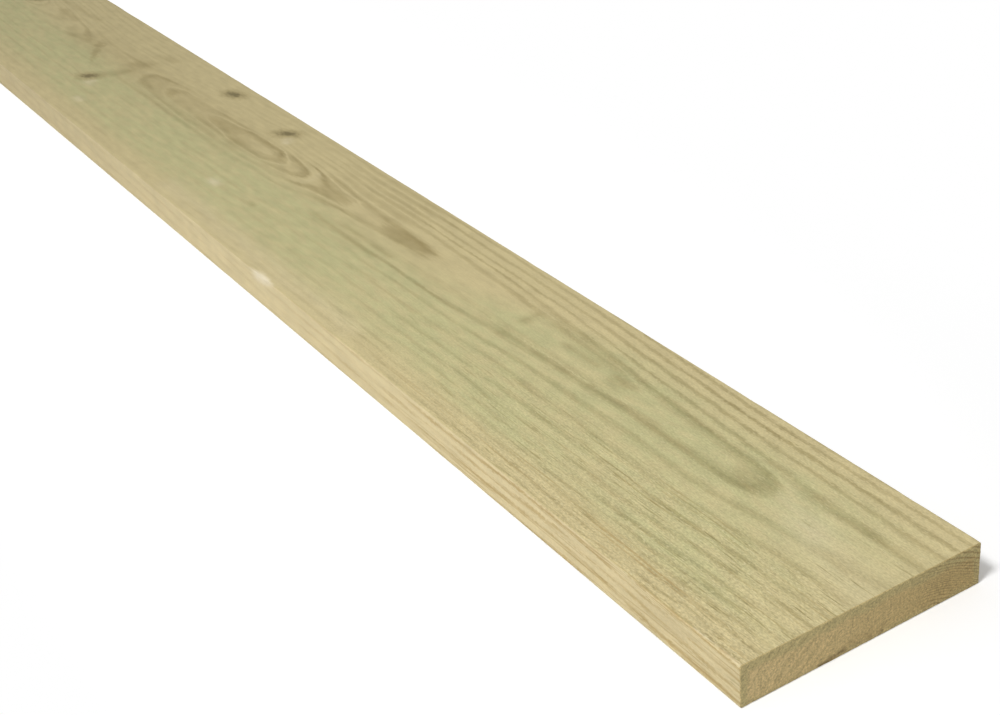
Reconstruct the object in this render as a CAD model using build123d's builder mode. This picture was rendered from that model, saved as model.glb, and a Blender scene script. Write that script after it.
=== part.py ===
from build123d import *
import os

# A square-edged cladding board, sawn in one piece from treated softwood, in millimetres.
# It lies on its back face with its length along X, and its weather face points up.
# The origin is the middle of the back face.

# Driving dimensions
board_length = 2400.0  # between the two cut ends
board_width = 150.0  # across the weather face
board_thickness = 25.0  # from the back face to the weather face
arris_radius = 1.0  # easing of the four long edges, while the cut ends stay sharp

os.makedirs("parts", exist_ok=True)

# The sawn section stands on the back face, and runs the same way to both cut ends
with BuildPart() as cladding_board:
    with BuildSketch(Plane.YZ) as section:
        Rectangle(board_width, board_thickness, align=(Align.CENTER, Align.MIN))
        fillet(section.vertices(), radius=arris_radius)
    extrude(amount=board_length / 2, both=True)

cladding_board.part.label = "cladding_board"
export_step(cladding_board.part, "parts/cladding_board.step")
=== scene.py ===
"""Looks of the cladding board: a fine-sawn, green-treated pine board lying on a pale floor.

The grain is one solid field: the distance from a pith line that runs below the board. Every face
cuts the same growth rings, so the arches on the weather face, the lines along the edges and the
arcs on the ends belong together. Lengths are in millimetres unless a name says otherwise.
"""
import math

import bpy
import numpy as np
from mathutils import Matrix, Vector, noise


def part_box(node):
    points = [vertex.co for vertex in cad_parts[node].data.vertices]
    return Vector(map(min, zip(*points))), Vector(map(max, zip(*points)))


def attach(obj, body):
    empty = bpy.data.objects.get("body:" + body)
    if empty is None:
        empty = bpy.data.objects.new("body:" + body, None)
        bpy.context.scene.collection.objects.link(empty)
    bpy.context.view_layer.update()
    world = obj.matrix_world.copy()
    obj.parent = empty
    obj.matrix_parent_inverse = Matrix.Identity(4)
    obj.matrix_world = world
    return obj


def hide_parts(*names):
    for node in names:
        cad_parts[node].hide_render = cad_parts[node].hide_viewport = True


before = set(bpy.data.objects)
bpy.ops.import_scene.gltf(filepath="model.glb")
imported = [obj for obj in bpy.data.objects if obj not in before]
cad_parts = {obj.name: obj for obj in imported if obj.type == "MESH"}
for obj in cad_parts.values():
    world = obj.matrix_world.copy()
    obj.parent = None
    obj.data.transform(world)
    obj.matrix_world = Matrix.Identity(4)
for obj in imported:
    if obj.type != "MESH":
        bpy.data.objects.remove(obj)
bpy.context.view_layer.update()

NODE = "cladding_board"
MM = 0.001  # metres in a millimetre

low, high = (np.array(corner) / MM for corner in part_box(NODE))
LENGTH, WIDTH, THICKNESS = high - low
NEAR_X, LEFT_Y, TOP_Z = high[0], low[1], high[2]

# Mesh cells across a broad face, across a narrow face, along the board and on half an arris
CELLS_ACROSS = 112
CELLS_DEEP = 18
CELLS_ALONG = 356
CELLS_ARC = 2
# Cell length wanted at distances from the near end, before it is scaled to fit the cell count
CELL_LENGTHS = (
    (0, 2.4), (300, 3.6), (470, 5.0), (485, 3.0), (530, 3.0), (545, 5.0), (1000, 7.5), (2400, 11.0),
)

ARRIS_RADIUS = 1.0
END_WEAR = 0.5  # most that the edges of a saw cut are worn back
END_SUNK = 0.12  # how far the rim of a saw cut lies inside the outline where it isn't worn
END_DEPTH, END_RELIEF = 0.1, 0.08  # mean depth of a saw cut and how much that varies
SHELL_DEPTH, SHELL_CHANGE = 5.5, 2.5  # how far the treatment reaches in at an end, and how that varies
# Relief of the long faces: mean depth, rise of the late wood, fibres, long waves and wear of an arris
SAWN_DEPTH, LATE_RISE, FIBRE_HEIGHT, WAVE_HEIGHT, ARRIS_WEAR = 0.15, 0.05, 0.05, 0.04, 0.9
STATION_STEPS = 4801  # steps along the board from which the cell lengths are worked out

# Pith line: distance from the near end, depth below the weather face, distance from the left edge
PITH = (
    (-100, 90.5, 104.0),
    (0, 89.8, 103.4),
    (50, 89.35, 102.6),
    (95, 88.6, 100.6),
    (140, 88.0, 99.8),
    (210, 87.4, 101.0),
    (340, 85.9, 103.2),
    (451, 85.3, 103.8),
    (510, 85.0, 103.5),
    (568, 84.5, 101.5),
    (632, 83.5, 100.0),
    (680, 82.9, 99.0),
    (735, 82.5, 97.5),
    (811, 82.9, 96.0),
    (890, 83.4, 95.0),
    (950, 84.2, 93.0),
    (1000, 84.5, 91.0),
    (1060, 84.2, 89.0),
    (1110, 83.8, 90.0),
    (1240, 82.5, 94.0),
    (1400, 81.4, 96.0),
    (1560, 79.9, 99.0),
    (1700, 79.0, 101.0),
    (1860, 80.1, 98.0),
    (2050, 78.3, 95.0),
    (2250, 77.2, 97.0),
    (2500, 76.0, 99.0),
)
# Crown: distance from the near end, radius of the ring cut at the weather face above the pith
CROWN = (
    (-100, 89.6), (0, 89.35), (45, 89.2), (75, 88.95), (86, 88.7), (92, 88.5), (95, 88.42), (104, 88.16),
    (110, 87.85), (116, 87.6), (140, 87.42), (190, 87.38), (212, 87.3), (223, 87.18), (236, 86.85),
    (252, 86.25), (310, 86.05), (345, 85.95), (380, 85.8), (430, 85.5), (446, 85.38), (456, 85.22),
    (475, 85.12), (512, 85.0), (530, 84.72), (555, 84.5), (566, 84.35), (574, 84.2), (598, 84.08),
    (612, 83.98), (624, 83.8), (634, 83.5), (642, 83.25), (658, 82.98), (670, 82.74), (682, 82.4),
    (702, 81.75), (750, 81.75), (768, 82.2), (800, 82.46), (814, 82.65), (845, 82.95), (880, 83.04),
    (888, 83.2), (899, 83.43), (912, 83.65), (936, 83.86), (942, 84.0), (951, 84.32), (968, 84.5),
    (1000, 84.6), (1060, 84.36), (1085, 84.22), (1110, 83.95), (1130, 83.6), (1165, 83.4), (1190, 83.1),
    (1240, 82.6), (1400, 81.4), (1560, 79.9), (1700, 79.0), (1860, 80.1), (2050, 78.3), (2250, 77.2),
    (2500, 76.0),
)
# Crown shape: distance from the near end, half width of its blunt top, how round that top is
CROWN_SHAPE = (
    (0, 11.0, 0.45), (80, 12.0, 0.45), (250, 12.0, 0.45), (330, 10.0, 0.45), (400, 9.5, 0.45),
    (450, 12.0, 0.45), (505, 12.0, 0.45), (530, 9.2, 0.45), (600, 9.6, 0.45), (690, 17.0, 1.1),
    (800, 17.0, 1.1), (880, 13.0, 0.5), (1000, 13.0, 0.7),
)
# Growth rings: outer radius about the pith, and how dark the late wood of the ring is
RINGS = (
    (49.0, 0.7), (52.0, 0.8), (54.6, 0.6), (57.0, 0.9), (59.8, 0.7), (62.3, 0.8), (64.9, 0.6), (67.0, 0.8),
    (69.4, 0.7), (71.3, 0.9), (73.4, 0.6), (75.0, 0.8), (76.6, 0.7), (78.0, 0.8), (79.2, 0.7), (80.4, 0.8),
    (81.6, 0.7), (82.6, 0.8), (83.4, 0.7), (84.3, 0.95), (85.3, 0.9), (87.2, 0.8), (88.5, 1.0), (90.3, 0.85),
    (93.0, 0.9), (96.0, 0.9), (99.0, 0.8), (101.6, 0.7), (104.0, 0.8), (106.2, 0.6), (108.4, 0.8),
    (110.4, 0.7), (112.3, 0.9), (114.4, 0.6), (116.2, 0.8), (118.2, 0.7), (120.2, 0.8), (122.4, 0.7),
)
LEFT_GROWTH = 1.0  # how much wider the rings grew towards the left edge
LEFT_REACH = 16.0  # distance left of the pith over which that wider growth sets in
# Distance from the near end, radius from which the rings grew wider on the left
LEFT_START = ((0, 88.5), (290, 88.5), (420, 86.5), (520, 86.4), (660, 83.4))
CROWN_DEPTHS = (14, 4)  # depths below the weather face where the blunt crown starts and is full
RING_WAVER = 0.35  # how far the rings waver away from the pith

# Knots: distance from the near end and from the left edge, half length, half width, turn in degrees
KNOTS = (
    (728, 127.5, 8.5, 4.8, 32),
    (844, 132.5, 9.0, 4.8, 12),
    (986, 53, 8.5, 5.8, 32),
    (1262, 96, 9, 5.0, 30),
    (1640, 40, 10, 6.0, 20),
    (1985, 118, 10, 5.0, 40),
)
KNOT_PUSH = 1.6  # how far a knot pushes the rings out
KNOT_SPREAD = (2.4, 2)  # reach of that push, in half lengths and half widths
# Dark scars across the grain, with the same measures
SCARS = (
    (1049, 83, 28, 4.0, -30),
    (1064, 91, 10, 6.5, -30),
)
# Stains, and a painted highlight: from and to (distance from the near end, distance from the left edge),
# half width, darkness
STAINS_AND_HIGHLIGHT = (
    # The first line is a painted highlight, paler along the left arris close to the near end
    ((34, 0.3), (-4, 0.3), 1.0, -0.5),
    ((60, 92), (0, 76), 16.0, -0.10),
    ((90, 101), (55, 92), 9.0, -0.10),
    ((150, 14), (60, 14), 9.0, 0.10),
    ((241, 105), (227, 105), 4.5, 0.55),
    ((245, 87.5), (104, 90), 3.6, 0.34),
    ((120, 98), (101, 97), 6.0, 0.28),
    ((205, 113), (122, 111), 2.4, 0.36),
    ((293, 105), (260, 105), 3.0, 0.42),
    ((320, 115), (245, 112), 4.5, 0.36),
    ((333, 85), (331, 84), 4.0, 0.40),
    ((337, 113), (335, 102), 4.0, 0.50),
    ((575, 74), (480, 73), 2.4, 0.42),
    ((540, 81), (470, 82), 2.2, 0.40),
    ((520, 108), (490, 104), 5.0, 0.20),
    ((622, 47), (617, 46), 2.5, 0.45),
    ((634, 110), (628, 92), 3.5, -0.12),
    ((700, 12), (400, 12), 10.0, -0.12),
    ((682, 42), (676, 41), 4.0, -0.45),
    ((716, 122), (712, 119), 4.0, -0.35),
    ((508, 101), (464, 102), 6.0, 0.26),
    ((740, 90), (420, 84), 18.0, 0.07),
    ((1100, 92), (740, 92), 20.0, 0.23),
    ((938, 25), (934, 24), 4.0, -0.30),
    ((973, 50), (968, 46), 5.0, -0.35),
    ((976, 66), (972, 88), 7.0, 0.35),
    ((986, 98), (972, 106), 8.0, 0.35),
    ((984, 124), (962, 128), 5.0, 0.25),
    ((1140, 90), (1112, 84), 5.0, 0.25),
    ((1200, 104), (1155, 101), 4.0, 0.35),
    ((1250, 114), (1134, 119), 3.0, 0.30),
)
# Chip on the left arris: distance from the near end, half length, reach on the top and down the edge
CHIP_PLACE, CHIP_HALF, CHIP_ON_TOP, CHIP_DOWN, CHIP_DEPTH = 506.0, 15.0, 3.2, 9.5, 0.8
# Dark marks on the near end: from and to (distance from the left edge, depth), half width, darkness
END_MARKS = (
    ((47, 24.0), (55, 23.6), 1.1, 0.9),
    ((57, 23.2), (63, 21.6), 0.8, 0.7),
    ((77, 23.2), (79, 23.0), 0.9, 0.7),
    ((52, 23.6), (71, 17.5), 0.7, 0.3),
    ((57, 24.0), (79, 18.0), 0.7, 0.3),
    ((63, 24.0), (88, 19.0), 0.7, 0.25),
    ((84, 23.4), (86, 22.6), 0.9, 0.8),
)
# How clear the rings are on an end: distance from the left edge, share
END_CLEAR = ((0, 0.24), (35, 0.24), (50, 0.12), (105, 0.14), (118, 0.65), (150, 0.85))


def smoothstep(start, end, value):
    """0 before the start, 1 past the end and a smooth rise between them."""
    t = np.clip((value - start) / (end - start), 0, 1)
    return t * t * (3 - 2 * t)


def smooth_curve(at, places, values):
    """Values on a smooth curve through the given ones that never swings past them."""
    rates = np.diff(values) / np.diff(places)
    same_way = rates[1:] * rates[:-1] > 0
    middles = np.zeros(len(rates) - 1)
    middles[same_way] = 2 / (1 / rates[1:][same_way] + 1 / rates[:-1][same_way])
    slopes = np.concatenate([rates[:1], middles, rates[-1:]])
    first = np.clip(np.searchsorted(places, at) - 1, 0, len(places) - 2)
    span = places[first + 1] - places[first]
    t = np.clip((at - places[first]) / span, 0, 1)
    return (
        (2 * t**3 - 3 * t**2 + 1) * values[first]
        + (t**3 - 2 * t**2 + t) * span * slopes[first]
        + (3 * t**2 - 2 * t**3) * values[first + 1]
        + (t**3 - t**2) * span * slopes[first + 1]
    )


def waves(points, size, seed):
    """Soft noise between about -1 and 1, with waves of the given size along x, y and z."""
    scaled = points / np.array(size) + seed
    return np.array([noise.noise(Vector(place)) for place in scaled])


def from_corner(points):
    """Distance from the near end, from the left edge and from the weather face."""
    return NEAR_X - points[:, 0], points[:, 1] - LEFT_Y, TOP_Z - points[:, 2]


def growth_rings(points):
    """Ring number at each point, whole at the outer edge of a ring."""
    along, across, depth = from_corner(points)
    places, pith_depths, pith_sides = np.array(PITH, float).T
    pith_depth = smooth_curve(along, places, pith_depths)
    side = across - smooth_curve(along, places, pith_sides)
    radius = np.hypot(pith_depth - depth, side)
    spots, half_widths, rounds = np.array(CROWN_SHAPE, float).T
    crown = smooth_curve(along, *np.array(CROWN, float).T) - depth
    crown += np.interp(along, spots, rounds) * (radius - pith_depth + depth)
    past = np.clip(radius - np.interp(along, *np.array(LEFT_START).T), 0, None)
    radius -= past * (1 - 1 / (1 + LEFT_GROWTH * smoothstep(0, LEFT_REACH, -side)))
    blunt = np.exp(-(side / np.interp(along, spots, half_widths))**4) * smoothstep(*CROWN_DEPTHS, depth)
    radius += blunt * (crown - radius)
    for knot_along, knot_across, half_length, half_width, _ in KNOTS:
        lengths_away = (along - knot_along) / (KNOT_SPREAD[0] * half_length)
        widths_away = (across - knot_across) / (KNOT_SPREAD[1] * half_width)
        radius -= KNOT_PUSH * np.exp(-np.hypot(lengths_away, widths_away)**2)
    radius += RING_WAVER * smoothstep(0, 30, abs(side)) * waves(points, (70, 9, 9), 3.0)
    radii = np.array(RINGS)[:, 0]
    return np.interp(radius, radii, np.arange(len(radii)))


def line_marks(at, lines):
    """Soft darkening along a few short lines."""
    total = np.zeros(len(at))
    for start, end, half_width, darkness in lines:
        start = np.array(start, float)
        run = np.array(end, float) - start
        t = np.clip((at - start) @ run / (run @ run), 0, 1)
        away = np.linalg.norm(at - start - t[:, None] * run, axis=1) / half_width
        total += darkness * np.exp(-away**2)
    return total


def chip_mask(points):
    """1 in the chip and 0 away from it, with a ragged rim."""
    along, across, depth = from_corner(points)
    ragged = 0.35 * waves(points, (7, 3, 3), 17.0) + 0.25 * waves(points, (3, 1.5, 1.5), 18.0)
    reach = across / CHIP_ON_TOP + depth / CHIP_DOWN + ragged
    length = abs(along - CHIP_PLACE - 0.9 * depth) / CHIP_HALF
    return smoothstep(1.2, 0.2, reach + 0.6 * length**2)


def side_line(half_width, half_height, cells):
    """Points and outward normals of one side of the section, from the middle of one arris to the next."""
    turn = np.linspace(0, math.pi / 4, CELLS_ARC + 1)
    reach = half_width - ARRIS_RADIUS
    flat = np.linspace(-reach, reach, cells - 2 * CELLS_ARC + 1)[1:-1]
    angles = np.concatenate([-turn[::-1], np.zeros(len(flat)), turn])
    centres = np.concatenate([np.full(len(turn), -reach), flat, np.full(len(turn), reach)])
    normals = np.stack([np.sin(angles), np.cos(angles)], 1)
    points = np.stack([centres, np.full(len(centres), half_height - ARRIS_RADIUS)], 1)
    return points + ARRIS_RADIUS * normals, normals


def section_outline():
    """The section's outline from the top left arris, over the top, right, bottom and left sides."""
    points, normals = [], []
    turn = np.eye(2)
    for across, up, cells in ((WIDTH, THICKNESS, CELLS_ACROSS), (THICKNESS, WIDTH, CELLS_DEEP)) * 2:
        side_points, side_normals = side_line(across / 2, up / 2, cells)
        points.append(side_points[:-1] @ turn)
        normals.append(side_normals[:-1] @ turn)
        turn = turn @ np.array([[0, -1], [1, 0]])
    return np.concatenate(points) + [0, THICKNESS / 2], np.concatenate(normals)


def stations():
    """Places along the board, from the far end to the near one."""
    places, lengths = np.array(CELL_LENGTHS, float).T
    fine = np.linspace(0, LENGTH, STATION_STEPS)
    count = np.concatenate([[0], np.cumsum(np.diff(fine) / np.interp(fine[1:], places, lengths))])
    from_near = np.interp(np.linspace(count[-1], 0, CELLS_ALONG + 1), count, fine)
    return NEAR_X - END_WEAR - from_near * (LENGTH - 2 * END_WEAR) / LENGTH


# Darkness of the late wood: distance from the near end, share at the crown, on its right and left flank
# and towards the left edge
LATE_SHARES = (
    (0, 0.55, 0.44, 0.30, 0.68),
    (40, 0.95, 0.58, 0.34, 0.66),
    (100, 0.9, 0.60, 0.40, 0.62),
    (150, 0.9, 0.64, 0.50, 0.50),
    (260, 0.9, 0.62, 0.60, 0.40),
    (330, 0.9, 0.48, 0.70, 0.32),
    (420, 0.8, 0.52, 0.60, 0.28),
    (520, 0.58, 0.50, 0.35, 0.22),
    (620, 0.76, 0.36, 0.25, 0.18),
    (690, 0.85, 0.15, 0.20, 0.16),
    (805, 0.85, 0.15, 0.40, 0.16),
    (824, 0.35, 0.12, 0.45, 0.16),
    (870, 0.35, 0.12, 0.45, 0.16),
    (886, 0.7, 0.12, 0.45, 0.16),
    (950, 0.6, 0.12, 0.40, 0.16),
    (970, 0.4, 0.15, 0.10, 0.16),
    (1240, 0.3, 0.15, 0.12, 0.20),
    (1400, 0.6, 0.30, 0.30, 0.35),
    (1700, 1.0, 0.65, 0.60, 0.60),
)
# Where the flanks of the crown start and end: distances from the near end, distances from the pith
RIGHT_FLANK_START = ((400, 470, 610, 680), (10, 13, 13, 10))
LEFT_FLANK_START = 10
FLANK_END = ((620, 690), (18, 13.5))
LEFT_PART = (26, 46)  # distances left of the pith where the finely ringed left part starts and is full
# Darkness of the late wood on the narrow faces: distance from the near end, share
EDGE_LATE = ((0, 0.75), (250, 0.65), (460, 0.2), (1250, 0.2), (1700, 0.65))
BROAD_RING = 88.5  # ring with a broad band of late wood around its crown
NEXT_RING = 90.3  # ring with a broad band right of the crown, close to the near end
HALF_RING = 87.2  # ring that is hard to see left of its crown and close to the near end
# Right edge of the green part: distances from the near end, distances from the left edge
GREEN_EDGE = ((0, 260, 400, 900, 1200, 2400), (132, 128, 92, 78, 84, 120))
FAR_AGAIN = (1250, 1700)  # distances from the near end over which the grain gets crisp again


def in_ring(rings, outer_radius):
    """1 within the ring that has this outer radius, and 0 in the others."""
    number = [radius for radius, _ in RINGS].index(outer_radius)
    return smoothstep(0.55, 0.45, abs(rings - number + 0.45))


def late_wood(points, rings, side, narrow):
    """How dark the late wood is at each point."""
    along = from_corner(points)[0]
    darkness = np.array(RINGS)[:, 1]
    reach = (np.arange(len(darkness))[:, None] + [-0.95, 0.0]).reshape(-1)
    dark = np.interp(rings, reach, np.repeat(darkness, 2))
    places, at_crown, at_right, at_left, at_edge = np.array(LATE_SHARES).T
    flank_end = np.interp(along, *FLANK_END)
    right_flank = smoothstep(np.interp(along, *RIGHT_FLANK_START), flank_end, side)
    left_flank = smoothstep(LEFT_FLANK_START, flank_end, -side)
    left_part = smoothstep(*LEFT_PART, -side)
    share = np.interp(along, places, at_crown)
    for zone, at_zone in ((right_flank, at_right), (left_flank, at_left), (left_part, at_edge)):
        share += zone * (np.interp(along, places, at_zone) - share)
    dark *= share * (1 + 0.5 * waves(points, (120, 14, 14), 8.0))
    dark += narrow * (np.interp(along, *np.array(EDGE_LATE).T) - dark)
    hidden = np.maximum(smoothstep(3, -3, side), smoothstep(370, 320, along))
    return dark * (1 - 0.75 * in_ring(rings, HALF_RING) * hidden * (1 - narrow))


def broad_bands(rings, along, side):
    """Where the late wood of a ring is a broad, soft band."""
    tongue = in_ring(rings, BROAD_RING) * np.interp(side, (-9, -4, 2, 6), (1.0, 0.6, 0.6, 0.8))
    tongue *= smoothstep(80, 94, along) * smoothstep(430, 300, along)
    beside = in_ring(rings, NEXT_RING)
    beside *= smoothstep(5, 9, side) * smoothstep(130, 70, along)
    wedges = smoothstep(490, 520, along) * smoothstep(640, 615, along)
    wedges *= np.interp(side, (-7, -2, 2, 6), (0.75, 0.3, 0.3, 1.0))
    oval = 0.9 * smoothstep(640, 680, along) * np.interp(along, (830, 870, 950, 970), (1, 0.5, 0.5, 0))
    return np.maximum.reduce([tongue, beside, wedges, oval])


def green_tint(points, narrow):
    """Where the treatment shows green."""
    along, across, _ = from_corner(points)
    green = smoothstep(8, 28, across) * smoothstep(16, -16, across - np.interp(along, *GREEN_EDGE))
    green *= 0.3 + 0.7 * smoothstep(0, 70, along)
    green *= np.clip(0.85 + 0.5 * waves(points, (90, 22, 22), 31.0), 0, 1.2) * (1 - narrow)
    return green


def stains_and_painted_light(along, across, narrow, arris, upward):
    """Stains, painted shade along the arrises and a painted highlight at the near end: darker places, and
    paler ones where it is below zero.
    """
    stain = line_marks(np.stack([along, across], 1), STAINS_AND_HIGHLIGHT) * upward
    stain += narrow * (0.16 * smoothstep(190, 50, along) + 0.1 * smoothstep(650, 1000, along))
    # Painted shade: the arrises are drawn darker past the near end, to dull the highlight that the lamp puts
    # on their rounding
    stain += 0.26 * arris * smoothstep(30, 60, along)
    return stain


def sunk_depth(points, rings, arris, chip):
    """How far the sawn surface lies inside the board's plain faces."""
    late = smoothstep(0.45, 0.85, rings % 1.0) - smoothstep(0.86, 1.0, rings % 1.0)
    sunk = SAWN_DEPTH - LATE_RISE * late
    sunk += FIBRE_HEIGHT * waves(points, (26, 2.6, 2.6), 11.0)
    sunk += WAVE_HEIGHT * waves(points, (200, 45, 45), 5.0)
    sunk += arris * np.clip(ARRIS_WEAR * waves(points, (26, 40, 40), 13.0) - 0.2, 0, None)
    return np.clip(sunk, 0, None) + CHIP_DEPTH * chip


def long_faces():
    """Points of the four long faces with what the grain shows there, as rows by places around."""
    outline, normals = section_outline()
    xs = stations()
    shape = (len(xs), len(outline))
    points = np.empty(shape + (3,))
    points[..., 0] = xs[:, None]
    points[..., 1:] = outline
    points = points.reshape(-1, 3)
    outward = np.zeros(shape + (3,))
    outward[..., 1:] = normals
    outward = outward.reshape(-1, 3)
    along, across, _ = from_corner(points)
    side = across - smooth_curve(along, *np.array(PITH, float).T[[0, 2]])
    narrow = smoothstep(0.4, 0.9, abs(outward[:, 1]))
    arris = smoothstep(0.2, 0.6, np.minimum(abs(outward[:, 1]), abs(outward[:, 2])))
    left = smoothstep(*LEFT_PART, -side)

    rings = growth_rings(points)
    grid = rings.reshape(shape)
    steps = np.linalg.norm(outline - np.roll(outline, 1, axis=0), axis=1)
    turn = ((grid - np.roll(grid, 1, axis=1)) / steps).reshape(-1)
    run = np.gradient(grid, xs, axis=0).reshape(-1)

    feather = 0.2 + 0.8 * smoothstep(430, 470, along) * smoothstep(620, 590, along)
    far_again = smoothstep(*FAR_AGAIN, along)
    dashes = np.maximum(left * (1 - narrow), smoothstep(90, 40, along) * smoothstep(114, 104, across))
    dashes = np.maximum(dashes, 0.5 * narrow * smoothstep(200, 60, along))
    streaks = np.maximum(left, narrow) * np.maximum(smoothstep(460, 160, along), 0.1 + 0.9 * far_again)
    chip = chip_mask(points)
    values = {
        "ring": rings,
        "run": np.clip(run, -0.1, 0.1),
        "turn": np.clip(turn, -0.6, 0.6),
        "dark": np.clip(late_wood(points, rings, side, narrow), 0, 1.1),
        "broad": broad_bands(rings, along, side) * (1 - narrow),
        "feather": feather,
        "fine": np.maximum(left, 0.35 * narrow),
        "dashes": dashes,
        "streaks": streaks,
        "green": green_tint(points, narrow),
        "narrow": narrow,
        "stain": stains_and_painted_light(along, across, narrow, arris, outward[:, 2] > 0.5),
        "chip": chip,
        "crisp": np.maximum(smoothstep(620, 40, along), far_again),
    }
    points = points - outward * sunk_depth(points, rings, arris, chip)[:, None]
    return points, values, outline, normals, shape


def corner_places():
    """Places of the four arrises among the points around the section."""
    return np.cumsum([0, CELLS_ACROSS, CELLS_DEEP, CELLS_ACROSS, CELLS_DEEP])


def cap_grid(outline):
    """Points of a saw-cut end between the four sides of the outline that it closes."""
    turns = corner_places()
    closed = np.concatenate([outline, outline[:1]])
    top, right, bottom, left = (closed[a:b + 1] for a, b in zip(turns, turns[1:]))
    bottom, left = bottom[::-1], left[::-1]
    u = np.linspace(0, 1, CELLS_ACROSS + 1)[None, :, None]
    v = np.linspace(0, 1, CELLS_DEEP + 1)[:, None, None]
    sides = (1 - v) * top + v * bottom + (1 - u) * left[:, None] + u * right[:, None]
    corners = (1 - v) * ((1 - u) * top[0] + u * top[-1]) + v * ((1 - u) * bottom[0] + u * bottom[-1])
    return sides - corners


def saw_cut(outline, normals, face_x, facing):
    """Points of one end with what the grain shows there."""
    rim = np.stack([np.full(len(outline), face_x), outline[:, 0], outline[:, 1]], 1)
    wear = 0.34 + 0.35 * waves(rim, (9, 9, 9), 40.0) + 0.4 * waves(rim, (3.2, 3.2, 3.2), 41.0)
    wear = np.clip(wear, 0.05, END_WEAR - END_SUNK)
    flat = cap_grid(outline - normals * (END_SUNK + wear[:, None]))
    points = np.concatenate([np.full(flat.shape[:2] + (1,), face_x), flat], 2).reshape(-1, 3)
    rings = growth_rings(points)
    grid = rings.reshape(flat.shape[:2])
    pace = np.hypot(
        np.gradient(grid, axis=1) / np.gradient(flat[..., 0], axis=1),
        np.gradient(grid, axis=0) / np.gradient(flat[..., 1], axis=0),
    ).reshape(-1)
    _, across, depth = from_corner(points)
    shell = SHELL_DEPTH + SHELL_CHANGE * waves(points, (12, 12, 12), 51.0)
    from_edges = np.minimum(across, WIDTH - across) * 1.2
    from_face = np.minimum(from_edges, np.minimum(depth, (THICKNESS - depth) * 2.5))
    marks = line_marks(np.stack([across, depth], 1), END_MARKS)
    sunk = np.clip(END_DEPTH + END_RELIEF * waves(points, (4, 2.5, 2.5), 21.0), 0, None)
    points[:, 0] -= facing * sunk
    values = {
        "ring": rings,
        "turn": np.clip(pace, 0, 0.6),
        "shell": smoothstep(1.5, -1.5, from_face - shell),
        "stain": marks,
        "left": smoothstep(WIDTH, 0, across),
        "clear": np.interp(across, *np.array(END_CLEAR).T),
    }
    return points, values


# Map of the surface for baked looks: band heights for the top, right, bottom and left faces
BAND_HEIGHTS = (0.28, 0.04, 0.085, 0.04)
BAND_GAP = 0.006
CAP_BAND = 0.05
CAP_RIM_U, CAP_RIM_V = 0.01, 0.004  # breadth of the worn rim around an end


def long_face_map(shape):
    """Places of the long faces on the map: two half lengths, each with four bands."""
    rows, around = shape
    turns = corner_places()
    half = (rows - 1) // 2
    corners = np.empty((rows - 1, around, 4, 2))
    base = BAND_GAP
    for first, last in ((0, half), (half, rows - 1)):
        xs = stations()[first:last + 1]
        u = BAND_GAP + (xs - xs[0]) / (xs[-1] - xs[0]) * (1 - 2 * BAND_GAP)
        for band, (start, end) in zip(BAND_HEIGHTS, zip(turns, turns[1:])):
            v = base + np.linspace(0, 1, end - start + 1) * band
            for corner, (du, dv) in enumerate(((0, 0), (0, 1), (1, 1), (1, 0))):
                corners[first:last, start:end, corner, 0] = u[du:len(u) - 1 + du][:, None]
                corners[first:last, start:end, corner, 1] = v[dv:len(v) - 1 + dv]
            base += band + BAND_GAP
    return corners.reshape(-1, 4, 2), base


def cap_map(left_u, base):
    """Places of a saw-cut end on the map, with its worn rim as a thin frame around it."""
    width = 0.5 - 2 * BAND_GAP
    u = left_u + CAP_RIM_U + np.linspace(0, 1, CELLS_ACROSS + 1) * (width - 2 * CAP_RIM_U)
    v = base + CAP_BAND - CAP_RIM_V - np.linspace(0, 1, CELLS_DEEP + 1) * (CAP_BAND - 2 * CAP_RIM_V)
    inner = np.stack(np.meshgrid(u, v), -1)
    u[[0, -1]] += np.array([-CAP_RIM_U, CAP_RIM_U])
    v[[0, -1]] += np.array([CAP_RIM_V, -CAP_RIM_V])
    outer = np.stack(np.meshgrid(u, v), -1)
    return inner, outer


def border(grid):
    """The outer points of a grid in their order around it."""
    return np.concatenate([grid[0, :-1], grid[:-1, -1], grid[-1, :0:-1], grid[:0:-1, 0]])


def end_faces(cap, last_row, facing, left_u, base):
    """Faces of one end and of its worn rim, with their places on the map."""
    inner, outer = cap_map(left_u, base)
    cells = [(slice(None, -1), slice(None, -1)), (slice(None, -1), slice(1, None)),
             (slice(1, None), slice(1, None)), (slice(1, None), slice(None, -1))]
    cut = np.stack([cap[cell] for cell in cells], -1).reshape(-1, 4)
    cut_map = np.stack([inner[cell] for cell in cells], -2).reshape(-1, 4, 2)
    rim, rim_map, rim_far = border(cap), border(inner), border(outer)
    worn = np.stack([last_row, np.roll(last_row, -1), np.roll(rim, -1), rim], -1)
    worn_map = np.stack([rim_far, np.roll(rim_far, -1, 0), np.roll(rim_map, -1, 0), rim_map], -2)
    faces = np.concatenate([cut, worn])
    places = np.concatenate([cut_map, worn_map])
    if facing < 0:
        return faces[:, ::-1], places[:, ::-1]
    return faces, places


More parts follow.
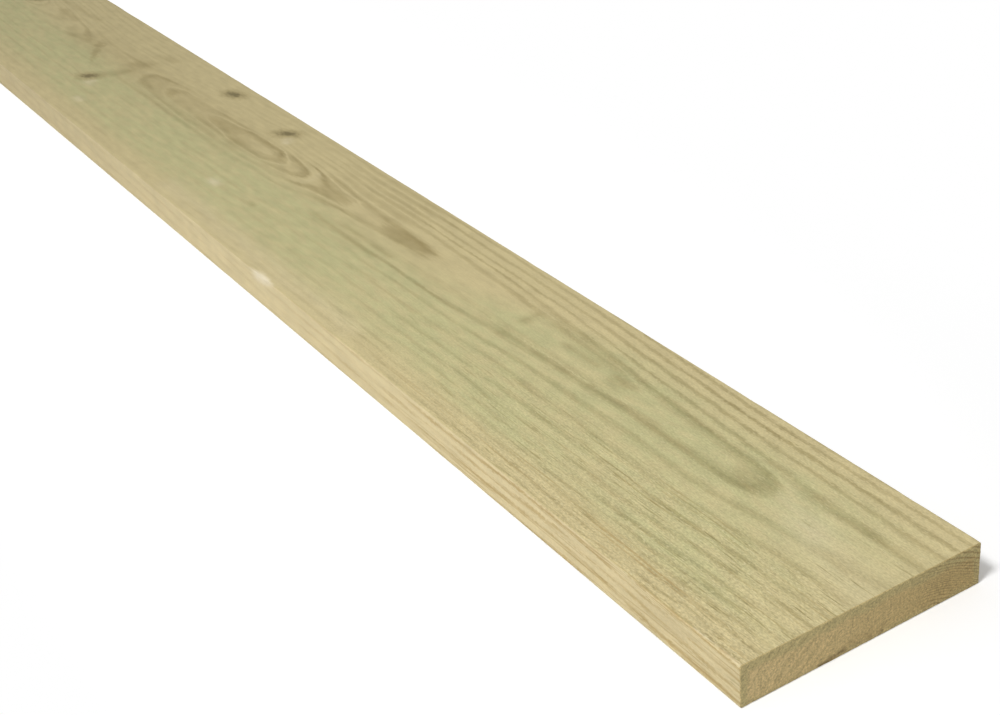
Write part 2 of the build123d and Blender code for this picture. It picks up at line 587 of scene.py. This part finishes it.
def build_board():
    """The sawn board as one closed mesh, with what the grain shows as values at its points."""
    points, values, outline, normals, shape = long_faces()
    index = np.arange(len(points)).reshape(shape)
    after = np.roll(index, -1, axis=1)
    all_points = [points]
    all_values = [values]
    faces = [np.stack([index[:-1], after[:-1], after[1:], index[1:]], -1).reshape(-1, 4)]
    long_map, base = long_face_map(shape)
    maps = [long_map]
    materials = [np.zeros(len(faces[0]), int)]
    count = len(points)
    for row, face_x, facing, left_u in ((0, low[0], -1, BAND_GAP), (-1, NEAR_X, 1, 0.5 + BAND_GAP)):
        cap_points, cap_values = saw_cut(outline, normals, face_x, facing)
        cap = count + np.arange(len(cap_points)).reshape(CELLS_DEEP + 1, CELLS_ACROSS + 1)
        count += len(cap_points)
        cap_faces, cap_places = end_faces(cap, index[row], facing, left_u, base)
        all_points.append(cap_points)
        all_values.append(cap_values)
        faces.append(cap_faces)
        maps.append(cap_places)
        materials.append(np.ones(len(cap_faces), int))

    mesh = bpy.data.meshes.new("sawn_board")
    mesh.from_pydata((np.concatenate(all_points) * MM).tolist(), [], np.concatenate(faces).tolist())
    for name in sorted({name for part in all_values for name in part}):
        parts = [part.get(name, np.zeros(len(part["ring"]))) for part in all_values]
        attribute = mesh.attributes.new(name, "FLOAT", "POINT")
        attribute.data.foreach_set("value", np.concatenate(parts).astype(np.float32))
    surface_map = mesh.uv_layers.new(name="OFBake")
    surface_map.data.foreach_set("uv", np.concatenate(maps).astype(np.float32).reshape(-1))
    mesh.polygons.foreach_set("material_index", np.concatenate(materials).astype(np.int32))
    mesh.polygons.foreach_set("use_smooth", np.ones(len(mesh.polygons), bool))
    mesh.update()
    board = bpy.data.objects.new("sawn_board", mesh)
    bpy.context.scene.collection.objects.link(board)
    return board


def srgb(red, green, blue):
    """A colour as a screen shows it, 0 to 255, as the linear values that shaders take."""
    parts = np.array([red, green, blue]) / 255
    linear = np.where(parts <= 0.04045, parts / 12.92, ((parts + 0.055) / 1.055) ** 2.4)
    return (*linear.tolist(), 1.0)


class Graph:
    """The nodes of one material, added by short calls that return sockets."""

    def __init__(self, name):
        self.material = bpy.data.materials.new(name)
        self.material.use_nodes = True
        self.tree = self.material.node_tree
        self.tree.nodes.clear()

    def plug(self, socket, value):
        if isinstance(value, bpy.types.NodeSocket):
            self.tree.links.new(value, socket)
        else:
            socket.default_value = value

    def node(self, kind, **settings):
        made = self.tree.nodes.new("ShaderNode" + kind)
        for name, value in settings.items():
            setattr(made, name, value)
        return made

    def math(self, operation, *values):
        made = self.node("Math", operation=operation)
        for socket, value in zip(made.inputs, values):
            self.plug(socket, value)
        return made.outputs[0]

    def product(self, first, *others):
        for other in others:
            first = self.math("MULTIPLY", first, other)
        return first

    def total(self, first, *others):
        for other in others:
            first = self.math("ADD", first, other)
        return first

    def attribute(self, name):
        return self.node("Attribute", attribute_name=name).outputs["Fac"]

    def places(self):
        """Places on the piece in millimetres."""
        scaled = self.node("VectorMath", operation="SCALE")
        self.plug(scaled.inputs[0], self.node("TexCoord").outputs["Object"])
        scaled.inputs["Scale"].default_value = 1 / MM
        return scaled.outputs[0]

    def noise(self, places, size, detail=2.0, roughness=0.5, seed=0.0):
        """Noise about 0 to 1, with blots of the given size in millimetres along x, y and z.

        The seed moves the pattern, so that no two noises with the same size look alike.
        """
        stretched = self.node("VectorMath", operation="MULTIPLY_ADD")
        self.plug(stretched.inputs[0], places)
        stretched.inputs[1].default_value = [1 / s for s in size]
        stretched.inputs[2].default_value = (seed, seed, seed)
        made = self.node("TexNoise", noise_dimensions="3D", normalize=True)
        self.plug(made.inputs["Vector"], stretched.outputs[0])
        made.inputs["Scale"].default_value = 1.0
        made.inputs["Detail"].default_value = detail
        made.inputs["Roughness"].default_value = roughness
        return made.outputs["Fac"]

    def around_zero(self, places, size, reach, detail=2.0, seed=0.0):
        """Noise that swings about zero."""
        return self.math("MULTIPLY_ADD", self.noise(places, size, detail, 0.6, seed), 2 * reach, -reach)

    def span(self, value, from_low, from_high, to_low=0.0, to_high=1.0):
        """Maps a range of a value smoothly onto another, and stays within it."""
        made = self.node("MapRange", interpolation_type="SMOOTHSTEP")
        for socket, number in zip(made.inputs, (value, from_low, from_high, to_low, to_high)):
            self.plug(socket, number)
        return made.outputs["Result"]

    def ramp(self, value, stops):
        """A smooth curve through (place, height) stops."""
        made = self.node("ValToRGB")
        made.color_ramp.interpolation = "EASE"
        elements = made.color_ramp.elements
        while len(elements) < len(stops):
            elements.new(0.5)
        for element, (place, height) in zip(elements, stops):
            element.position = place
            element.color = (height, height, height, 1)
        self.plug(made.inputs[0], value)
        return made.outputs["Color"]

    def mix(self, factor, first, second, blend="MIX"):
        made = self.node("Mix", data_type="RGBA", blend_type=blend)
        for place, value in ((0, factor), (6, first), (7, second)):
            self.plug(made.inputs[place], value)
        return made.outputs[2]

    def blend(self, factor, first, second):
        """A mix of two numbers."""
        made = self.node("Mix", data_type="FLOAT")
        for place, value in ((0, factor), (2, first), (3, second)):
            self.plug(made.inputs[place], value)
        return made.outputs[0]

    def surface(self, colour, roughness, height, depth):
        """The finished material, with bumps of the given depth."""
        bump = self.node("Bump")
        bump.inputs["Distance"].default_value = depth * MM
        self.plug(bump.inputs["Height"], height)
        shader = self.node("BsdfPrincipled")
        self.plug(shader.inputs["Base Color"], colour)
        self.plug(shader.inputs["Roughness"], roughness)
        self.plug(shader.inputs["Normal"], bump.outputs[0])
        shader.inputs["Specular IOR Level"].default_value = 0.25
        self.plug(self.node("OutputMaterial").inputs["Surface"], shader.outputs[0])
        return self.material


TAN = srgb(206, 191, 144)
GREEN = srgb(195, 189, 140)
STRAW = srgb(222, 206, 162)
LATE_BROWN = srgb(157, 141, 95)
LATE_OLIVE = srgb(152, 145, 99)
LATE_STRAW = srgb(188, 163, 110)
KNOT_CORE = srgb(127, 116, 80)
KNOT_HALO = srgb(165, 149, 104)
# Pale fresh wood of the chip, also the colour of pale places and of the painted highlight on the left arris
FRESH_AND_HIGHLIGHT = srgb(234, 222, 192)
DASH = srgb(146, 132, 82)
PALE_FIBRE = srgb(222, 212, 166)
STREAK_BROWN = srgb(178, 152, 100)
STREAK_OLIVE = srgb(163, 155, 104)
# Darkness through one ring, from its inner to its outer edge, for plain and for broad late wood
LATE_PROFILE = ((0.0, 0.35), (0.10, 0.0), (0.52, 0.0), (0.74, 0.85), (0.88, 1.0), (1.0, 0.35))
BROAD_PROFILE = ((0.0, 0.5), (0.12, 0.0), (0.16, 0.0), (0.34, 0.5), (0.65, 0.85), (1.0, 0.5))


def ring_lines(g, at):
    """Late wood of each ring, with edges that stray between the fibres."""
    stray = g.total(g.around_zero(at, (14, 2.4, 2.4), 2.2), g.around_zero(at, (3.2, 1.0, 1.0), 2.4, 2, 5.0))
    slide = g.around_zero(at, (36, 2.2, 2.2), 26.0, 2, 6.0)
    stray = g.product(stray, g.attribute("turn"), g.math("MULTIPLY_ADD", g.attribute("crisp"), 0.6, 0.4))
    slide = g.product(slide, g.attribute("run"), g.attribute("feather"))
    fraction = g.math("FRACT", g.total(g.attribute("ring"), g.total(stray, slide)))
    line = g.blend(g.attribute("broad"), g.ramp(fraction, LATE_PROFILE), g.ramp(fraction, BROAD_PROFILE))
    kept = g.span(g.noise(at, (55, 3.2, 3.2), 2, 0.55, 2.0), 0.36, 0.60, 0.2, 1.15)
    kept = g.blend(g.attribute("fine"), 1.0, kept)
    patchy = g.span(g.noise(at, (18, 5, 5), 2, 0.5, 29.0), 0.3, 0.7, 0.8, 1.2)
    return g.product(line, g.attribute("dark"), kept, patchy)


def along_grain(g, at):
    """Places that waver a little, for marks that follow the fibres."""
    waver = g.around_zero(at, (75, 16, 16), 1.8, 1, 71.0)
    aside = g.node("CombineXYZ")
    g.plug(aside.inputs[1], waver)
    g.plug(aside.inputs[2], waver)
    moved = g.node("VectorMath", operation="ADD")
    g.plug(moved.inputs[0], at)
    g.plug(moved.inputs[1], aside.outputs[0])
    return moved.outputs[0]


def oval_marks(g, at, marks):
    """How far each place is from the nearest of some oval marks, 1 at its rim."""
    nearest = None
    for along, across, half_length, half_width, turn in marks:
        placed = g.node("Mapping", vector_type="TEXTURE")
        g.plug(placed.inputs["Vector"], at)
        placed.inputs["Location"].default_value = (NEAR_X - along, LEFT_Y + across, 0)
        placed.inputs["Rotation"].default_value = (0, 0, math.radians(turn))
        placed.inputs["Scale"].default_value = (half_length, half_width, THICKNESS * 4)
        away = g.node("VectorMath", operation="LENGTH")
        g.plug(away.inputs[0], placed.outputs[0])
        distance = away.outputs["Value"]
        nearest = distance if nearest is None else g.math("MINIMUM", nearest, distance)
    return g.math("ADD", nearest, g.around_zero(at, (6, 3, 3), 0.9, 3, 61.0))


def add_marks(g, at, colour, tint):
    """Stains, painted shade and a painted highlight, scars, knots and the chip on a colour."""
    uneven = g.span(g.noise(at, (30, 8, 8), 2, 0.5, 27.0), 0.3, 0.6, 0.6, 1.1)
    stain = g.product(g.attribute("stain"), uneven)
    # Darker places, with the painted shade along the arrises
    colour = g.mix(g.math("MAXIMUM", stain, 0.0), colour, g.mix(tint, LATE_BROWN, LATE_OLIVE))
    # Paler places, with the painted highlight on the left arris at the near end
    colour = g.mix(g.math("MAXIMUM", g.product(stain, -1.0), 0.0), colour, FRESH_AND_HIGHLIGHT)
    colour = g.mix(g.span(oval_marks(g, at, SCARS), 1.5, 0.3, 0.0, 0.5), colour, LATE_BROWN)
    knot = oval_marks(g, at, KNOTS)
    colour = g.mix(g.span(knot, 2.6, 0.9, 0.0, 0.6), colour, KNOT_HALO)
    colour = g.mix(g.span(knot, 1.4, 0.3, 0.0, 0.9), colour, KNOT_CORE)
    return g.mix(g.attribute("chip"), colour, FRESH_AND_HIGHLIGHT)


def long_marks(g, at):
    """Long streaks and short dashes along the grain."""
    wavering = along_grain(g, at)
    streak = g.product(
        g.span(g.noise(wavering, (190, 1.3, 1.3), 2, 0.5, 16.0), 0.54, 0.68),
        g.span(g.noise(at, (70, 6, 6), 1, 0.5, 19.0), 0.38, 0.60, 0.25, 1.0),
        g.attribute("streaks"),
    )
    dash = g.product(
        g.span(g.noise(wavering, (24, 1.2, 1.2), 2, 0.5, 14.0), 0.54, 0.72),
        g.span(g.noise(at, (60, 9, 9), 1, 0.5, 15.0), 0.42, 0.62),
        g.attribute("dashes"),
        g.attribute("crisp"),
    )
    return streak, dash


def long_grain():
    """Material of the four long faces."""
    g = Graph("treated_pine_long_grain")
    at = g.places()
    crisp = g.attribute("crisp")
    narrow = g.attribute("narrow")

    # Ground colour, with the green of the treatment in blotches, and late wood
    blotch = g.span(g.noise(at, (20, 6, 6), 3, 0.55, 7.0), 0.32, 0.68, 0.55, 1.2)
    tint = g.product(g.attribute("green"), blotch)
    ground = g.mix(narrow, g.mix(tint, TAN, GREEN), STRAW)
    late = g.mix(narrow, g.mix(tint, LATE_BROWN, LATE_OLIVE), LATE_STRAW)
    colour = add_marks(g, at, g.mix(ring_lines(g, at), ground, late), tint)

    # Sawn fibres
    fibre = g.noise(at, (26, 0.6, 0.6), 3, 0.6, 4.0)
    wool = g.noise(at, (2.1, 0.95, 0.95), 2, 0.6, 9.0)
    mottle = g.noise(at, (18, 6, 6), 2, 0.5, 52.0)
    wool_reach = g.product(
        g.total(0.58, g.product(g.attribute("fine"), 0.32)),
        g.total(0.06, g.product(crisp, 0.94)),
        g.math("MULTIPLY_ADD", narrow, -0.65, 1.0),
    )
    fleck = g.span(g.noise(at, (3.5, 1.0, 1.0), 1, 0.5, 23.0), 0.60, 0.74, 0.0, 0.6)
    streak, dash = long_marks(g, at)
    shade = g.total(
        1.0,
        g.product(g.math("MULTIPLY_ADD", fibre, 0.16, -0.08), g.math("MULTIPLY_ADD", crisp, 0.6, 0.4)),
        g.math("MULTIPLY_ADD", mottle, 0.28, -0.14),
        g.product(g.math("MULTIPLY_ADD", wool, 1.06, -0.53), wool_reach),
    )
    colour = g.mix(1.0, colour, shade, "MULTIPLY")
    colour = g.mix(g.product(streak, 0.7), colour, g.mix(tint, STREAK_BROWN, STREAK_OLIVE))
    colour = g.mix(g.product(dash, 0.7), colour, DASH)
    colour = g.mix(g.product(fleck, wool_reach), colour, PALE_FIBRE)

    height = g.total(
        g.product(fibre, 0.5),
        g.product(wool, wool_reach),
        g.product(dash, -0.4),
        g.product(fleck, 0.3),
    )
    return g.surface(colour, g.span(wool, 0.3, 0.7, 0.74, 0.88), height, 0.3)


END_LIGHT = srgb(207, 185, 134)
END_BROWN = srgb(189, 166, 114)
END_SHELL = srgb(185, 172, 122)
END_LATE = srgb(145, 123, 80)
END_PORE = srgb(112, 94, 60)
# Darkness through one ring on an end, from its inner to its outer edge
END_PROFILE = ((0.0, 0.3), (0.12, 0.0), (0.55, 0.05), (0.85, 1.0), (1.0, 0.3))
STROKES_PER_RING = 3.5
STROKE_LENGTH = 5.0


def ring_strokes(g, at, ring):
    """Noise drawn out along the growth rings."""
    apart = g.node("SeparateXYZ")
    g.plug(apart.inputs[0], at)
    joined = g.node("CombineXYZ")
    g.plug(joined.inputs[0], g.product(ring, STROKES_PER_RING))
    for axis in (1, 2):
        g.plug(joined.inputs[axis], g.product(apart.outputs[axis], 1 / STROKE_LENGTH))
    return g.noise(joined.outputs[0], (1, 1, 1), 2, 0.6, 81.0)


def end_grain():
    """Material of the two saw-cut ends."""
    g = Graph("treated_pine_end_grain")
    at = g.places()
    drift = g.around_zero(at, (2, 2.2, 2.2), 0.8, 3)
    ring = g.math("MULTIPLY_ADD", drift, g.attribute("turn"), g.attribute("ring"))
    line = g.ramp(g.math("FRACT", ring), END_PROFILE)
    stroke = ring_strokes(g, at, ring)
    shown = g.span(g.noise(at, (9, 16, 16), 2, 0.5, 3.0), 0.35, 0.65, 0.6, 1.2)
    shown = g.product(shown, g.attribute("clear"))
    ground = g.mix(g.attribute("left"), END_BROWN, END_LIGHT)
    ground = g.mix(g.product(g.attribute("shell"), 0.75), ground, END_SHELL)
    colour = g.mix(g.product(line, shown), ground, END_LATE)
    colour = g.mix(g.attribute("stain"), colour, END_PORE)
    speck = g.noise(at, (1.4, 1.2, 1.2), 3, 0.65, 12.0)
    mottle = g.noise(at, (5, 5, 4), 2, 0.5, 33.0)
    shade = g.total(-0.18, g.product(speck, 1.6), g.product(stroke, 0.6), g.product(mottle, 0.22))
    colour = g.mix(1.0, colour, shade, "MULTIPLY")
    pore = g.span(g.noise(at, (0.7, 0.6, 0.6), 1, 0.5, 44.0), 0.66, 0.76, 0.0, 0.5)
    colour = g.mix(pore, colour, END_PORE)
    height = g.total(speck, g.product(stroke, 0.5), g.product(pore, -0.4))
    return g.surface(colour, g.span(speck, 0.3, 0.7, 0.82, 0.95), height, 0.35)


board = build_board()
board.data.materials.append(long_grain())
board.data.materials.append(end_grain())
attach(board, "root")
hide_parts(NODE)

# Floor: white to the camera, apart from the board's own shadow close to it
FLOOR_HALF = 6000.0
FLOOR_PALE = 0.8  # paleness of the floor for the light that it throws back at the board
SEEN_DIFFUSE = 1.0  # paleness of the floor that the camera sees
SEEN_GLOW = 0.37  # own light of the floor beside the middle of the board
GLOW_FALL = -0.24  # how that changes with each metre towards the near end, where the lamp is close
SHADOW_REACH_M = (0.05, 0.25)  # distances from the board where the shadow starts to fade and is gone


def pale_floor():
    """A floor that shows the board's shadow close to it and is white farther off."""
    mesh = bpy.data.meshes.new("floor")
    reach = FLOOR_HALF * MM
    corners = [(x * reach, y * reach, low[2] * MM) for x, y in ((-1, -1), (1, -1), (1, 1), (-1, 1))]
    mesh.from_pydata(corners, [], [(0, 1, 2, 3)])
    floor = bpy.data.objects.new("floor", mesh)
    bpy.context.scene.collection.objects.link(floor)
    g = Graph("pale_floor")
    plain = g.node("BsdfDiffuse")
    plain.inputs["Color"].default_value = (FLOOR_PALE, FLOOR_PALE, FLOOR_PALE, 1)
    shaded = g.node("BsdfDiffuse")
    shaded.inputs["Color"].default_value = (SEEN_DIFFUSE, SEEN_DIFFUSE, SEEN_DIFFUSE, 1)
    glow = g.node("Emission")
    apart = g.node("SeparateXYZ")
    g.plug(apart.inputs[0], g.node("TexCoord").outputs["Object"])
    own_light = g.math("MULTIPLY_ADD", apart.outputs[0], GLOW_FALL, SEEN_GLOW)
    g.plug(glow.inputs["Strength"], g.math("MAXIMUM", own_light, 0.0))
    close = g.node("AddShader")
    g.plug(close.inputs[0], shaded.outputs[0])
    g.plug(close.inputs[1], glow.outputs[0])
    white = g.node("Emission")
    white.inputs["Strength"].default_value = 1.0
    squares = []
    for axis, half in ((0, LENGTH / 2), (1, WIDTH / 2)):
        past = g.math("SUBTRACT", g.math("ABSOLUTE", apart.outputs[axis]), half * MM)
        past = g.math("MAXIMUM", past, 0.0)
        squares.append(g.product(past, past))
    from_board = g.math("SQRT", g.total(*squares))
    seen = g.node("MixShader")
    g.plug(seen.inputs[0], g.span(from_board, *SHADOW_REACH_M))
    g.plug(seen.inputs[1], close.outputs[0])
    g.plug(seen.inputs[2], white.outputs[0])
    path = g.node("LightPath")
    straight = g.math("MAXIMUM", path.outputs["Is Glossy Ray"], path.outputs["Is Transmission Ray"])
    chosen = g.node("MixShader")
    g.plug(chosen.inputs[0], g.math("MAXIMUM", path.outputs["Is Camera Ray"], straight))
    g.plug(chosen.inputs[1], plain.outputs[0])
    g.plug(chosen.inputs[2], seen.outputs[0])
    g.plug(g.node("OutputMaterial").inputs["Surface"], chosen.outputs[0])
    mesh.materials.append(g.material)


pale_floor()

# Light: an even sky, a soft lamp in front and left of the near end, and a weak one behind the far end
SKY_STRENGTH = 0.40
LAMPS = (
    # name, watts, size, distance, azimuth, elevation and target, in metres and degrees
    ("soft_lamp", 25.3, 0.4, 2.0, 28.0, 55.0, Vector((0.87, 0.0, 0.0))),
    ("far_lamp", 6.0, 1.2, 2.0, 290.0, 40.0, Vector((-0.9, 0.0, 0.0))),
)


def direction(azimuth, elevation):
    """Unit vector at degrees from square on the left edge towards the near end, and degrees up."""
    turn, rise = math.radians(azimuth), math.radians(elevation)
    return Vector((math.sin(turn) * math.cos(rise), -math.cos(turn) * math.cos(rise), math.sin(rise)))


def soft_light():
    """A white sky to the camera, a weaker one for the light, and the lamps."""
    world = bpy.data.worlds.new("studio")
    world.use_nodes = True
    tree = world.node_tree
    tree.nodes.clear()
    path = tree.nodes.new("ShaderNodeLightPath")
    strength = tree.nodes.new("ShaderNodeMapRange")
    strength.inputs["To Min"].default_value = SKY_STRENGTH
    strength.inputs["To Max"].default_value = 1.0
    sky = tree.nodes.new("ShaderNodeBackground")
    sky.inputs["Color"].default_value = (1, 1, 1, 1)
    out = tree.nodes.new("ShaderNodeOutputWorld")
    tree.links.new(path.outputs["Is Camera Ray"], strength.inputs["Value"])
    tree.links.new(strength.outputs["Result"], sky.inputs["Strength"])
    tree.links.new(sky.outputs[0], out.inputs["Surface"])
    bpy.context.scene.world = world
    for name, watts, size, distance, azimuth, elevation, target in LAMPS:
        data = bpy.data.lights.new(name, "AREA")
        data.shape = "SQUARE"
        data.size = size
        data.energy = watts
        lamp = bpy.data.objects.new(name, data)
        away = direction(azimuth, elevation)
        lamp.location = target + distance * away
        lamp.rotation_euler = away.to_track_quat("Z", "Y").to_euler()
        bpy.context.scene.collection.objects.link(lamp)


soft_light()

# Camera, fitted to the board's edges in the photograph
CAMERA_LENS = 60.2
CAMERA_SENSOR = 36.0
CAMERA_AZIMUTH, CAMERA_ELEVATION, CAMERA_ROLL = 60.44, 29.55, 5.32  # degrees
CAMERA_FROM_CORNER = Vector((455.1, -366.0, 496.0))  # from the near left top corner


def photo_camera():
    """The camera that sees the board as the photograph does."""
    data = bpy.data.cameras.new("photo_camera")
    data.lens = CAMERA_LENS
    data.sensor_width = CAMERA_SENSOR
    camera = bpy.data.objects.new("photo_camera", data)
    back = direction(CAMERA_AZIMUTH, CAMERA_ELEVATION)
    roll = Matrix.Rotation(-math.radians(CAMERA_ROLL), 4, "Z")
    turn = back.to_track_quat("Z", "Y").to_matrix().to_4x4() @ roll
    corner = Vector((NEAR_X, LEFT_Y, TOP_Z))
    camera.matrix_world = Matrix.Translation((corner + CAMERA_FROM_CORNER) * MM) @ turn
    bpy.context.scene.collection.objects.link(camera)
    bpy.context.scene.camera = camera


photo_camera()
bpy.context.scene.view_settings.view_transform = "Standard"
